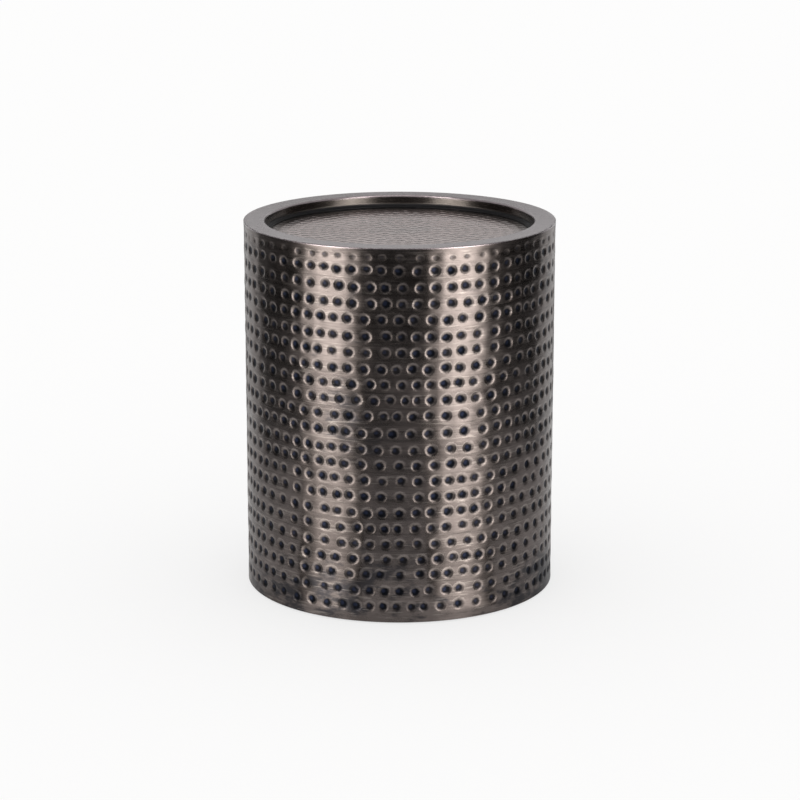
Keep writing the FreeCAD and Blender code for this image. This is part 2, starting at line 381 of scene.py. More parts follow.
# %% Dark screens
SCREEN_DISTANCE = 1.7
SCREEN_STEPS = 48
FRONT_SCREEN_HEIGHT = 1.25
BACK_SCREEN_HEIGHT = 0.76
FRONT_SWEEP = 245
MIDDLE_SWEEP = 110
BACK_SWEEP = 44
MAT_SWEEP = 232
FRONT_MAT_SWEEP = 124
BACK_MAT_SWEEP = 56
MAT_START = 0.48
SIDE_MAT_START = 0.74
BACK_MAT_START = 0.25
MAT_FADE = (0.38, 1.3)
MAT_NEAR = (0.64, 0.64, 0.66)
MAT_FAR = (0.15, 0.15, 0.15)

dark, _, _ = matt_material("dark_screen", 0.03)
dim, _, _ = matt_material("dim_screen", 0.09)
back_mat, _, _ = matt_material("back_mat", 0.22)
mat, tree, shader = matt_material("mat", 0.5)
mat_far = soft_step(vector_maths("LENGTH", object_place(tree)), *MAT_FADE)
feed(blend_colour(mat_far, MAT_NEAR, MAT_FAR), shader.inputs["Base Color"])


def screen(name, material, profile, bearing, sweep):
    """Sweeps (distance, height) points round the drum; only reflections see the result."""
    bm = bmesh.new()
    verts = [bm.verts.new((distance, 0, height + CLEAR_OF_FLOOR)) for distance, height in profile]
    edges = [bm.edges.new(pair) for pair in zip(verts, verts[1:])]
    start = Matrix.Rotation(math.radians(bearing - sweep / 2 - 90), 3, "Z")
    bmesh.ops.rotate(bm, verts=verts, cent=(0, 0, 0), matrix=start)
    bmesh.ops.spin(
        bm,
        geom=verts + edges,
        cent=(0, 0, 0),
        axis=(0, 0, 1),
        angle=math.radians(sweep),
        steps=SCREEN_STEPS,
    )
    reflected_only(new_object(name, bm, material))


def upright(height):
    """The profile of a screen that stands."""
    return (SCREEN_DISTANCE, 0), (SCREEN_DISTANCE, height)


def lying(start):
    """The profile of a mat that lies on the floor from a distance to the screens."""
    return (start, 0), (SCREEN_DISTANCE, 0)


screen("front_screen", dim, upright(FRONT_SCREEN_HEIGHT), 0, MIDDLE_SWEEP)
screen("back_screen", dark, upright(BACK_SCREEN_HEIGHT), 180, BACK_SWEEP)
screen("mat", mat, lying(MAT_START), 0, FRONT_MAT_SWEEP)
screen("back_mat", back_mat, lying(BACK_MAT_START), 180, BACK_MAT_SWEEP)
for side_name, sign in (("left", -1), ("right", 1)):
    for kind, material, profile, whole, middle in (
        ("_screen", dark, upright(FRONT_SCREEN_HEIGHT), FRONT_SWEEP, MIDDLE_SWEEP),
        ("_mat", mat, lying(SIDE_MAT_START), MAT_SWEEP, FRONT_MAT_SWEEP),
    ):
        screen(side_name + kind, material, profile, sign * (whole + middle) / 4, (whole - middle) / 2)


# %% [markdown]
# ## Shared effects
# Three effects come back in several finishes, so each is a node group, built once and
# given other numbers in each material.
#
# `brushed_grain` makes the fine scratches of a cloth or a belt. Its vector has metres
# along the scratches in X and Y and metres across them in Z, and noise that changes
# slowly in two directions and fast in the third looks like lines. The same swing of
# clouds and lines drives the tone and the roughness, as on metal that is cloudy where
# it is dull.

# %% Group helpers
def new_group(name, inputs, outputs):
    """A node group with named sockets; returns its tree, inputs and outputs."""
    group = bpy.data.node_groups.new(name, "ShaderNodeTree")
    for label, kind, value in inputs:
        socket = group.interface.new_socket(label, in_out="INPUT", socket_type="NodeSocket" + kind)
        if value is not None:
            socket.default_value = value
    for label, kind in outputs:
        group.interface.new_socket(label, in_out="OUTPUT", socket_type="NodeSocket" + kind)
    given = group.nodes.new("NodeGroupInput").outputs
    return group, given, group.nodes.new("NodeGroupOutput").inputs


def place_group(group, vector, **values):
    """Puts a group in the vector's tree; a value's name has _ where its label has a space."""
    given = {key.replace("_", " "): value for key, value in values.items()}
    given["Vector"] = vector
    return add_node(vector.id_data, "Group", given, node_tree=group).outputs


def drawn_noise(xyz, along, across, detail, seed):
    """Noise with so many repeats per metre along the scratches and across them."""
    tree = xyz["X"].id_data
    repeats = {"X": along, "Y": along, "Z": across}
    squeezed = {axis: times(xyz[axis], repeats[axis]) for axis in repeats}
    vector = add_node(tree, "CombineXYZ", squeezed).outputs[0]
    given = {"Vector": vector, "W": seed, "Scale": 1.0, "Detail": detail, "Roughness": 0.6}
    return add_node(tree, "TexNoise", given, noise_dimensions="4D").outputs["Fac"]


# %% Brushed grain group
GRAIN_SWING = 2.5

grain, given, result = new_group(
    "brushed_grain",
    (
        ("Vector", "Vector", None),
        ("Colour", "Color", (0.3, 0.3, 0.3, 1)),
        ("Tone change", "Float", 0.2),
        ("Roughness", "Float", 0.3),
        ("Roughness change", "Float", 0.1),
        ("Lines per metre", "Float", 900),
    ),
    (("Colour", "Color"), ("Roughness", "Float"), ("Height", "Float")),
)
xyz = split(given["Vector"])
wide_share = times(given["Lines per metre"], 0.2)
fine_lines = drawn_noise(xyz, 26, given["Lines per metre"], 3.0, 1.7)
wide_lines = drawn_noise(xyz, 12, wide_share, 3.0, 8.2)
clouds = drawn_noise(xyz, 11, 16, 4.0, 4.4)
lines = times(maths("ADD", wide_lines, fine_lines), 0.5)
swing = maths("SUBTRACT", maths("ADD", clouds, lines), 1.0)
tone = maths("MULTIPLY_ADD", times(swing, given["Tone change"]), GRAIN_SWING, 1.0)
feed(vector_maths("SCALE", given["Colour"], tone), result["Colour"])
rough = times(swing, given["Roughness change"])
feed(maths("MULTIPLY_ADD", rough, GRAIN_SWING, given["Roughness"]), result["Roughness"])
feed(lines, result["Height"])
print("brushed_grain has", len(grain.nodes), "nodes")

# %% [markdown]
# `spun_place` is for what was brushed on a wheel. The scratches run in circles, so its
# vector has the distance from the axis in Z and a point on a fixed circle in X and Y.
# An angle would be simpler, but it jumps from one end of its range to the other
# somewhere, and the scratches would break there.

# %% Spun place group
SPUN_CIRCLE = 0.19
spun, given, result = new_group(
    "spun_place", (("Vector", "Vector", None),), (("Vector", "Vector"), ("Radius", "Float"))
)
flattened = vector_maths("MULTIPLY", given["Vector"], (1.0, 1.0, 0.0))
from_axis = vector_maths("LENGTH", flattened)
on_circle = split(vector_maths("SCALE", vector_maths("NORMALIZE", flattened), SPUN_CIRCLE))
given = {"X": on_circle["X"], "Y": on_circle["Y"], "Z": from_axis}
feed(add_node(spun, "CombineXYZ", given).outputs[0], result["Vector"])
feed(from_axis, result["Radius"])

# %% [markdown]
# `patina` is the dark film that the bath left where the cloth slipped: ragged smudges a
# few centimetres long, gathered in some places and missing in others.

# %% Patina group
patina, given, result = new_group(
    "patina", (("Vector", "Vector", None), ("Amount", "Float", 0.5)), (("Mask", "Float"),)
)
xyz = split(given["Vector"])
where = drawn_noise(xyz, 5, 7, 2.0, 3.3)
smudge = drawn_noise(xyz, 38, 85, 6.0, 6.1)
film = maths("ADD", times(where, 0.55), times(smudge, 0.45))
start = maths("MULTIPLY_ADD", given["Amount"], -0.22, 0.64)
feed(soft_step(film, start, maths("ADD", start, 0.09)), result["Mask"])
print("groups:", [group.name for group in bpy.data.node_groups])


# %% [markdown]
# ## Metal finishes
# All the metal is one alloy with an antique nickel patina: dark where the cloth never
# reached, brighter where it rubbed, and painted highlight and painted shade are added to
# that on the wall, in the well and on the tray. Each finish starts from the same base.
# Its tangent runs round the axis, as the scratches do, and a quarter turn of the
# anisotropy draws each highlight out across them.

# %% Brushed metal base
QUARTER_TURN = 0.25


def brushed_metal(name, spun_round, stretch, **grain_values):
    """A metallic material over the grain group; returns what its finish builds on."""
    material, tree, shader = new_material(name)
    feed(1.0, shader.inputs["Metallic"])
    feed(stretch, shader.inputs["Anisotropic"])
    feed(QUARTER_TURN, shader.inputs["Anisotropic Rotation"])
    around = add_node(tree, "Tangent", direction_type="RADIAL", axis="Z")
    feed(around.outputs[0], shader.inputs["Tangent"])
    place = object_place(tree)
    spun_place = place_group(spun, place)
    along = spun_place["Vector"] if spun_round else place
    return material, shader, place, spun_place, place_group(grain, along, **grain_values)


def with_film(colour, film_colour, place, amount, share):
    """A colour under a share of the patina's film."""
    return tinted(colour, film_colour, place_group(patina, place, Amount=amount)["Mask"], share)


def finish_surface(shader, colour, roughness, height, depth):
    """Wires the finished colour, roughness and height into the shader."""
    feed(colour, shader.inputs["Base Color"])
    feed(roughness, shader.inputs["Roughness"])
    bump = add_node(shader.id_data, "Bump", {"Distance": depth, "Height": height})
    feed(bump.outputs[0], shader.inputs["Normal"])


# %% [markdown]
# The hammered wall is two finishes in one: the raised metal between the dimples is
# rubbed and brushed, and the bowl keeps its blue-black patina. The slope just outside
# each stain is lightened, a little all round as rubbed metal and most of all on the
# upper side of the dimple as a painted highlight. The mesh carries a map that holds,
# for every point, its offset from the middle of its dimple in dimple radii, so the
# length of that offset is all that a round stain needs. A little noise on it makes the
# edge ragged.

# %% Dimple masks
STAIN_EDGE = 0.60
STAIN_BLUR = 0.19
STAIN_RUN = 0.03
SHOULDER = (0.95, 1.12)
MUTED_SHINE = (0.82, 0.82, 0.82, 1)

wall_material, shader, place, spun_place, surface = brushed_metal(
    "hammered_gunmetal",
    spun_round=False,
    stretch=0.60,
    Colour=(0.132, 0.113, 0.107),
    Tone_change=0.56,
    Roughness=0.28,
    Roughness_change=0.14,
    Lines_per_metre=330,
)
feed(MUTED_SHINE, shader.inputs["Specular Tint"])
tree = shader.id_data
ragged = maths("MULTIPLY_ADD", cloudy(place, 240.0, 3.0), 0.46, -0.23)
offset = add_node(tree, "UVMap", uv_map="from_dimple").outputs[0]


def how_far(from_point):
    """The distance from a point of the dimple, in dimple radii, with a ragged edge."""
    return maths("ADD", vector_maths("DISTANCE", offset, from_point), ragged)


below = how_far((0.0, -STAIN_RUN, 0.0))
clean = soft_step(below, STAIN_EDGE - STAIN_BLUR, STAIN_EDGE + STAIN_BLUR)
stain = times(one_minus(clean), attribute(tree, "stain"))
within = one_minus(soft_step(how_far((0.0, 0.0, 0.0)), *SHOULDER))
upper_side = soft_step(split(offset)["Y"], -0.1, 0.8)
# Painted highlight: the slope outside each stain is lightened, mostly on the dimple's upper side, with
# a little rubbed wear all round.
rubbed_and_highlight = times(times(clean, within), maths("MULTIPLY_ADD", upper_side, 0.75, 0.05))

# %% [markdown]
# Over that lie the marks of use. The film is heaviest near the foot, and its larger
# share there is also painted shade that darkens the wall towards the floor. Fine
# scratches run round the drum, both brighter and darker than the metal, and a broken
# dark line runs between two rows. Each stain carries a painted reflection, a bluish
# spot up and to the left of its middle, and a stained bowl is rougher than brushed
# metal, so it hardly shines.

# %% Hammered wall finish
# The colour of rubbed metal, and of the painted highlight on the upper slope of each dimple.
RUBBED_AND_HIGHLIGHT_COLOUR = (0.215, 0.188, 0.178)
# The colour of the film, also used for the painted shade towards the foot.
WALL_FILM_AND_SHADE_COLOUR = (0.030, 0.031, 0.037)
BRIGHT_MARK = (0.30, 0.27, 0.25)
DARK_MARK = (0.050, 0.045, 0.042)
PIT_COLOUR = (0.006, 0.007, 0.010)
# Painted reflection: a bluish spot up and to the left of the middle of each stain.
PIT_REFLECTION_COLOUR = (0.018, 0.023, 0.044)
PIT_REFLECTION_PLACE = (-0.20, 0.14, 0.0)
PIT_ROUGHER = 0.28

xyz = split(place)
up_wall = soft_step(xyz["Z"], 15 * MM, 110 * MM)
amount = maths("MULTIPLY_ADD", up_wall, -0.42, 0.87)
wall_film_and_foot_shade = place_group(patina, place, Amount=amount)["Mask"]
scratch = drawn_noise(xyz, 30, 420, 2.0, 5.9)
row_line = soft_step(maths("ADD", attribute(tree, "row_edge"), ragged), 0.72, 1.0)
row_line = times(row_line, soft_step(drawn_noise(xyz, 30, 10, 3.0, 2.6), 0.45, 0.62))

colour = blend_colour(rubbed_and_highlight, surface["Colour"], RUBBED_AND_HIGHLIGHT_COLOUR)
# Partly real film, partly painted shade: the film's share grows towards the foot and darkens the wall
# there.
colour = tinted(colour, WALL_FILM_AND_SHADE_COLOUR, wall_film_and_foot_shade, maths("MULTIPLY_ADD", up_wall, -0.25, 0.85))
colour = tinted(colour, BRIGHT_MARK, soft_step(scratch, 0.57, 0.68), 0.45)
colour = tinted(colour, DARK_MARK, one_minus(soft_step(scratch, 0.30, 0.43)), 0.50)
colour = tinted(colour, DARK_MARK, row_line, 0.40)
# Painted reflection inside each stain, bluish towards its upper left.
pit_reflection = soft_step(how_far(PIT_REFLECTION_PLACE), 0.14, 0.46)
colour = blend_colour(stain, colour, blend_colour(pit_reflection, PIT_REFLECTION_COLOUR, PIT_COLOUR))

roughness = surface["Roughness"]
for mask, rougher in ((wall_film_and_foot_shade, 0.08), (within, 0.05), (stain, PIT_ROUGHER)):
    roughness = maths("MULTIPLY_ADD", mask, rougher, roughness)
height = maths("MULTIPLY_ADD", row_line, -0.5, surface["Height"])
finish_surface(shader, colour, roughness, height, 0.06 * MM)

# %% [markdown]
# The ring on top was spun, planished and brushed, so it is the brightest metal, and the
# planishing leaves it faintly dappled. Down in the well, below the lip, the colour is
# darker, partly patina where the cloth hardly reached and partly painted shade in the
# recess, and the foot of the well is painted nearly black as shade.

# %% Rim finish
RIM_FILM_COLOUR = (0.12, 0.11, 0.115)
DAPPLE_COLOUR = (0.09, 0.08, 0.085)
# The well below the lip: partly patina, partly painted shade in the recess.
WELL_PATINA_AND_SHADE_COLOUR = (0.110, 0.098, 0.090)
# Painted shade: the foot of the well, where wall meets flange, is nearly black.
FOOT_SHADE_COLOUR = (0.012, 0.012, 0.013)
INSIDE_RADIUS = 190 * MM

rim_material, shader, place, spun_place, surface = brushed_metal(
    "planished_rim",
    spun_round=True,
    stretch=0.20,
    Colour=(0.186, 0.160, 0.168),
    Tone_change=0.10,
    Roughness=0.25,
    Roughness_change=0.06,
    Lines_per_metre=700,
)
below_top = maths("SUBTRACT", cad_high.z, split(place)["Z"])
inside = maths("LESS_THAN", spun_place["Radius"], INSIDE_RADIUS)
# Partly patina, partly painted shade: the well wall below the lip is darker.
well_patina_and_shade = times(soft_step(below_top, 1.6 * MM, 4.2 * MM), inside)
# Painted shade in the corner at the foot of the well.
shaded_foot = times(soft_step(below_top, 9.5 * MM, 13.0 * MM), inside)
colour = with_film(surface["Colour"], RIM_FILM_COLOUR, place, amount=0.55, share=0.45)
colour = tinted(colour, DAPPLE_COLOUR, soft_step(cloudy(place, 150.0, 1.0), 0.34, 0.68), 0.26)
colour = blend_colour(well_patina_and_shade, colour, WELL_PATINA_AND_SHADE_COLOUR)
colour = blend_colour(shaded_foot, colour, FOOT_SHADE_COLOUR)
roughness = maths("MULTIPLY_ADD", well_patina_and_shade, -0.05, surface["Roughness"])
roughness = maths("MULTIPLY_ADD", shaded_foot, 0.40, roughness)
finish_surface(shader, colour, roughness, surface["Height"], 0.005 * MM)

# %% [markdown]
# The tray floor is hammered with small overlapping blows and then brushed lightly in
# circles. Patina gathers in the blows, and the outer part of the floor, towards the
# ring, is darkened with painted shade.

# %% Tray finish
TRAY_FILM_COLOUR = (0.15, 0.142, 0.14)
DENT_COLOUR = (0.10, 0.088, 0.085)
# Painted shade on the tray's outer band, next to the well wall.
TRAY_EDGE_SHADE_COLOUR = (0.06, 0.052, 0.050)

tray_material, shader, place, spun_place, surface = brushed_metal(
    "hammered_tray",
    spun_round=True,
    stretch=0.0,
    Colour=(0.252, 0.190, 0.180),
    Tone_change=0.10,
    Roughness=0.22,
    Roughness_change=0.05,
    Lines_per_metre=600,
)
# Painted shade: the tray darkens towards the ring.
near_edge_shade = soft_step(spun_place["Radius"], 138 * MM, 172 * MM)
colour = with_film(surface["Colour"], TRAY_FILM_COLOUR, place, amount=0.42, share=0.30)
colour = tinted(colour, DENT_COLOUR, attribute(shader.id_data, "dent"), 0.75)
colour = tinted(colour, TRAY_EDGE_SHADE_COLOUR, near_edge_shade, 0.78)
finish_surface(shader, colour, surface["Roughness"], surface["Height"], 0.004 * MM)

# %% [markdown]
# The inside of the sheet and the base ring keep their mill finish, and the weld beads
# were only wire-brushed. They share the patina at a rougher grade.

# %% Inside finishes
def dull_metal(name, spun_round, film_colour, amount, **grain_values):
    """A metal that was never polished: a coarse grain under a heavy film."""
    made = brushed_metal(name, spun_round, stretch=0.0, Roughness_change=0.10, **grain_values)
    material, shader, place, _, surface = made
    colour = with_film(surface["Colour"], film_colour, place, amount, share=0.6)
    finish_surface(shader, colour, surface["Roughness"], surface["Height"], 0.08 * MM)
    return material


plate_material = dull_metal(
    "mill_plate",
    spun_round=True,
    film_colour=(0.06, 0.056, 0.053),
    amount=0.6,
    Colour=(0.20, 0.19, 0.18),
    Tone_change=0.24,
    Roughness=0.44,
    Lines_per_metre=300,
)
weld_material = dull_metal(
    "weld_metal",
    spun_round=False,
    film_colour=(0.05, 0.046, 0.05),
    amount=0.7,
    Colour=(0.21, 0.195, 0.18),
    Tone_change=0.30,
    Roughness=0.40,
    Lines_per_metre=420,
)

# %% [markdown]
# The glides are moulded black rubber: no metal, a faint mottle, and a dull skin.

# %% Rubber
rubber_material, tree, shader = new_material("glide_rubber")
mottle = cloudy(object_place(tree), 900.0, 4.0)
colour = blend_colour(mottle, (0.018, 0.018, 0.019), (0.048, 0.048, 0.050))
roughness = maths("MULTIPLY_ADD", mottle, 0.25, 0.55)
finish_surface(shader, colour, roughness, mottle, 0.08 * MM)
print("finishes:", [m.name for m in bpy.data.materials if m.use_nodes])

# %% [markdown]
# ## The hammered wall: where the blows fall
# The sheet was hammered flat, in rows, before it was rolled. Each row starts at the
# seam edge, and the spacing wanders a little from blow to blow, so neighbouring rows
# slip past each other in the middle of the sheet. The top row was struck lightly,
# because the ring's edge was close.

# %% Sheet sizes
wall_low, wall_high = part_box("drum_shell")
OUTSIDE = wall_high.x
SHEET_THICKNESS = 1.2 * MM
SEAM_GAP = 3.0 * MM
EASED_EDGE = 0.4 * MM
SHEET_LENGTH = TURN * OUTSIDE - SEAM_GAP
SHEET_HEIGHT = wall_high.z - wall_low.z
print("sheet", round(SHEET_LENGTH / MM, 1), "by", round(SHEET_HEIGHT / MM, 1), "mm")

# %% Blow places
ROWS = 23
BLOWS_PER_ROW = 61
FIRST_ROW = 20.9 * MM
ROW_PITCH = 21.12 * MM
TOP_ROW_GAP = 16.5 * MM
CELL_LOW = FIRST_ROW - ROW_PITCH / 2
TOP_CELL = 8.4 * MM
blow_pitch = SHEET_LENGTH / BLOWS_PER_ROW

blows = random.Random(61)
row_height = [FIRST_ROW + ROW_PITCH * j + blows.uniform(-0.8, 0.8) * MM for j in range(ROWS - 1)]
row_height.append(row_height[-1] + TOP_ROW_GAP)
centres = []
for j in range(ROWS):
    row = []
    for k in range(BLOWS_PER_ROW):
        slip = 16 * MM * noise.noise(Vector((k * 0.17, j * 0.42, 5.3))) + blows.gauss(0, 1.0) * MM
        slip *= min(1, k / 3, (BLOWS_PER_ROW - 1 - k) / 3)
        lift = 1.8 * MM * noise.noise(Vector((k * 0.11, j * 0.3, 9.1))) + blows.gauss(0, 0.5) * MM
        row.append(Vector(((k + 0.5) * blow_pitch + slip, row_height[j] + lift, 0)))
    centres.append(row)
print(ROWS * BLOWS_PER_ROW, "blows,", round(blow_pitch / MM, 2), "mm apart along a row")


# %% [markdown]
# ## The hammered wall: one cell per blow
# The flat sheet starts as a grid with one face per blow. Its corners move to the middle
# between four blows, and two more points on every edge make each face a twelve-sided
# cell.

# %% Cells
CELL_POINTS = 12


def side_x(j, i):
    """The upright boundary before blow i of row j."""
    if i == 0:
        return 0.0
    if i == BLOWS_PER_ROW:
        return SHEET_LENGTH
    return (centres[j][i - 1].x + centres[j][i].x) / 2


def level_y(j):
    """The level boundary below row j, which for the last one is above the top row."""
    if j == 0:
        return CELL_LOW
    if j == ROWS:
        return row_height[-1] + TOP_CELL
    return (row_height[j - 1] + row_height[j]) / 2


def corner_place(i, j):
    """Where corner i of boundary j between the rows goes."""
    rows = [r for r in (j - 1, j) if 0 <= r < ROWS]
    return Vector((sum(side_x(r, i) for r in rows) / len(rows), level_y(j), 0))


def in_order(elements):
    """Each element once, in the order met: a set's order changes from run to run."""
    return list(dict.fromkeys(elements))


def lay_cells(bm, cell_id):
    """Lays the grid of cells flat and returns {face: (row, blow)}."""
    made = bmesh.ops.create_grid(bm, x_segments=BLOWS_PER_ROW, y_segments=ROWS, size=0.5)
    corners = made["verts"]
    cells = {}
    for face in in_order(face for v in corners for face in v.link_faces):
        middle = face.calc_center_median()
        j = int((middle.y + 0.5) * ROWS)
        k = int((middle.x + 0.5) * BLOWS_PER_ROW)
        cells[face] = (j, k)
        face[cell_id] = j * BLOWS_PER_ROW + k + 1
    for v in corners:
        v.co = corner_place(round((v.co.x + 0.5) * BLOWS_PER_ROW), round((v.co.y + 0.5) * ROWS))
    edges = in_order(edge for face in cells for edge in face.edges)
    upright = [e for e in edges if abs(e.verts[0].co.y - e.verts[1].co.y) > ROW_PITCH / 2]
    level = [e for e in edges if abs(e.verts[0].co.y - e.verts[1].co.y) <= ROW_PITCH / 2]
    bmesh.ops.bisect_edges(bm, edges=upright, cuts=2)
    for face, (j, k) in cells.items():
        for v in set(face.verts) - set(corners):
            v.co.x = side_x(j, k + 1 if v.co.x > centres[j][k].x else k)
    bmesh.ops.bisect_edges(bm, edges=level, cuts=2)
    return cells


# %% [markdown]
# A hammer's ball leaves a round bowl. Its width and depth change with the strength of
# the blow, and two blows that fell close together have less room. The bowl's outline is
# a cosine whose steepest part is pushed towards the rim, as in a struck sheet. Between
# the bowls the sheet isn't flat either: it is lowest along the rows and has slow waves,
# and those make the edges of a reflection wander.

# %% Shape of a blow
DIMPLE_WIDE = 9.2 * MM
DIMPLE_TALL = 8.8 * MM
DIMPLE_DEPTH = 1.05 * MM
BOWL = 1.85
PILLOW_DEPTH = 0.32 * MM
PILLOW_REACH = 1.35
RING_SHARES = (1.0, 0.80, 0.48)
INNER_RING_SHARES = (0.68,)
CLEAR_SHARE = 0.98

strength = [[blows.random() for _ in range(BLOWS_PER_ROW)] for _ in range(ROWS)]


def blow_size(j, k):
    """Half width, half height and depth of a dimple, and how dark its stain is."""
    middle = centres[j][k]
    hard = strength[j][k]
    size = 0.93 + 0.12 * hard
    wide = min(DIMPLE_WIDE * size, middle.x - side_x(j, k), side_x(j, k + 1) - middle.x)
    tall = min(DIMPLE_TALL * size, middle.y - level_y(j), level_y(j + 1) - middle.y)
    depth = DIMPLE_DEPTH * (0.80 + 0.35 * hard)
    stain = 0.88 + 0.12 * hard
    if j == ROWS - 1:
        light = 0.40 + 0.6 * noise.noise(Vector((k * 0.35, 3.0, 1.0))) + 0.3 * (hard - 0.5)
        light = max(0.10, min(1.0, light))
        share = 0.50 + 0.35 * light
        return share * wide, share * tall, depth * 0.55 * light, stain * light
    return CLEAR_SHARE * wide, CLEAR_SHARE * tall, depth, stain


def bowl(reach, power=BOWL):
    """The bowl's depth as a share, and its change per dimple radius."""
    if reach >= 1:
        return 0.0, 0.0
    turn = math.pi * reach**power
    return 0.5 + 0.5 * math.cos(turn), -0.5 * math.pi * power * reach ** (power - 1) * math.sin(turn)


def waves(x, y):
    """How far the beaten sheet lies below true: nothing at its ends, never above true."""
    row, part = divmod((y - CELL_LOW) / ROW_PITCH, 1)
    row += part * part * (3 - 2 * part)
    slow = noise.noise(Vector((x * 16, y * 10, 2.2)))
    by_row = noise.noise(Vector((x * 45, row * 1.37 + 0.5, 7.7)))
    ridge = math.cos(TURN * part)
    edge = min(1, y / (12 * MM), (SHEET_HEIGHT - y) / (8 * MM))
    return max(0, edge) * max(0, 0.32 + 0.18 * slow + 0.45 * by_row - 0.06 * ridge) * MM


def wave_slope(x, y, step=0.5 * MM):
    here = waves(x, y)
    return (waves(x + step, y) - here) / step, (waves(x, y + step) - here) / step


# %% [markdown]
# Insetting a cell three times gives the shoulder, the steep part and the bowl, each ring
# pulled onto its oval, and a poke closes the bottom. The inside of the sheet is made the
# same way with one ring, and shows each blow as a bump.

# %% Rings in a cell
TOUCHING = 0.01 * MM


def ring_cells(bm, cells, shares):
    """Insets every cell once per share, pulls each ring onto its oval, and pokes."""
    first_angle = {}
    step = TURN / CELL_POINTS
    for face, (j, k) in cells.items():
        away = [v.co - centres[j][k] for v in face.verts]
        turned = [math.atan2(a.y, a.x) - n * step for n, a in enumerate(away)]
        first_angle[face] = math.atan2(sum(map(math.sin, turned)), sum(map(math.cos, turned)))
    for share in shares:
        bmesh.ops.inset_individual(bm, faces=list(cells), thickness=0.1 * MM)
        for face, (j, k) in cells.items():
            wide, tall = blow_size(j, k)[:2]
            for n, v in enumerate(face.verts):
                angle = first_angle[face] + n * step
                ring = Vector((wide * math.cos(angle), tall * math.sin(angle), 0))
                v.co = centres[j][k] + share * ring
    bmesh.ops.poke(bm, faces=list(cells))


def level_edges(edges, y):
    """The edges that lie at one height of the flat sheet."""
    return [e for e in edges if all(abs(v.co.y - y) < TOUCHING for v in e.verts)]


def add_margins(bm, skin):
    """Extends one skin of the sheet to its lower and upper edges."""
    edges = [e for f in skin for e in f.edges if e.is_boundary]
    foot = level_edges(edges, level_y(0))
    head = level_edges(edges, level_y(ROWS))
    added = []
    for start, stops in ((foot, (EASED_EDGE, 0.0)), (head, (SHEET_HEIGHT,))):
        for stop in stops:
            geom = bmesh.ops.extrude_edge_only(bm, edges=start)["geom"]
            for v in (g for g in geom if isinstance(g, bmesh.types.BMVert)):
                v.co.y = stop
            start = level_edges((g for g in geom if isinstance(g, bmesh.types.BMEdge)), stop)
            added += [g for g in geom if isinstance(g, bmesh.types.BMFace)]
    return added


# %% [markdown]
# Both skins are laid flat, one sheet thickness apart, and joined round their edges. The
# bowls are pressed in last, from the same formula that gives the shading: a dimple has
# few faces, so the exact normal of the formula is stored at each corner, and the bowls
# look round.

# %% Two skins
OUTER, INNER, EDGE = 1, 2, 0

wall_bm = bmesh.new()
cell_id = wall_bm.faces.layers.int.new("cell")
skin_id = wall_bm.faces.layers.int.new("skin")
for skin, shares in ((OUTER, RING_SHARES), (INNER, INNER_RING_SHARES)):
    known = set(wall_bm.faces)
    cells = lay_cells(wall_bm, cell_id)
    ring_cells(wall_bm, cells, shares)
    fresh = [f for f in wall_bm.faces if f not in known]
    margins = add_margins(wall_bm, fresh)
    for face in fresh + margins:
        face[skin_id] = skin
    for face in margins:
        face[cell_id] = 0
    if skin == INNER:
        verts = in_order(v for face in fresh + margins for v in face.verts)
        bmesh.ops.translate(wall_bm, verts=verts, vec=(0, 0, -SHEET_THICKNESS))
rims = [e for e in wall_bm.edges if e.is_boundary]
for face in bmesh.ops.bridge_loops(wall_bm, edges=rims)["faces"]:
    face[skin_id] = EDGE
    face[cell_id] = 0
bmesh.ops.recalc_face_normals(wall_bm, faces=wall_bm.faces)
print("flat sheet has", len(wall_bm.faces), "faces, closed:", all(e.is_manifold for e in wall_bm.edges))

# %% Press the blows
from_dimple = wall_bm.loops.layers.uv.new("from_dimple")
true_normal = wall_bm.loops.layers.float_vector.new("true_normal")
stain_layer = wall_bm.faces.layers.float.new("stain")
row_edge = wall_bm.verts.layers.float.new("row_edge")
NO_DIMPLE = Vector((3, 3))
BUMP_DEPTH = 0.85

for v in wall_bm.verts:
    v[row_edge] = min(abs(v.co.y - level_y(j)) for j in range(1, ROWS)) < TOUCHING
pressed = {}
for face in wall_bm.faces:
    face.smooth = True
    skin = face[skin_id]
    number = face[cell_id]
    if number:
        j, k = divmod(number - 1, BLOWS_PER_ROW)
        wide, tall, depth, face[stain_layer] = blow_size(j, k)
        if skin == INNER:
            depth *= BUMP_DEPTH
    for loop in face.loops:
        x, y = loop.vert.co.xy
        sink = waves(x, y)
        slope_x, slope_y = wave_slope(x, y)
        loop[from_dimple].uv = NO_DIMPLE
        if number:
            away = Vector(((x - centres[j][k].x) / wide, (y - centres[j][k].y) / tall))
            share, change = bowl(away.length)
            pillow, pillow_change = bowl(away.length / PILLOW_REACH, 1.0)
            loop[from_dimple].uv = away
            sink += depth * share + PILLOW_DEPTH * pillow
            change = depth * change + PILLOW_DEPTH * pillow_change / PILLOW_REACH
            if away.length > 1e-6:
                slope_x += change * away.x / away.length / wide
                slope_y += change * away.y / away.length / tall
        if skin != EDGE:
            normal = Vector((slope_x, slope_y, 1)).normalized()
            loop[true_normal] = normal if skin == OUTER else -normal
            pressed[loop.vert] = sink
for v, sink in pressed.items():
    v.co.z -= sink
    if v.co.y < TOUCHING:
        v.co.z += EASED_EDGE if v.co.z < -SHEET_THICKNESS / 2 else -EASED_EDGE
print("deepest blow", round(-min(v.co.z for v in wall_bm.verts) / MM, 2), "mm below the outside")

# %% [markdown]
# The sheet is rolled round the axis: its length becomes the way round, starting at the
# seam at the back, and its height stays upright. The stored normals are rolled too.

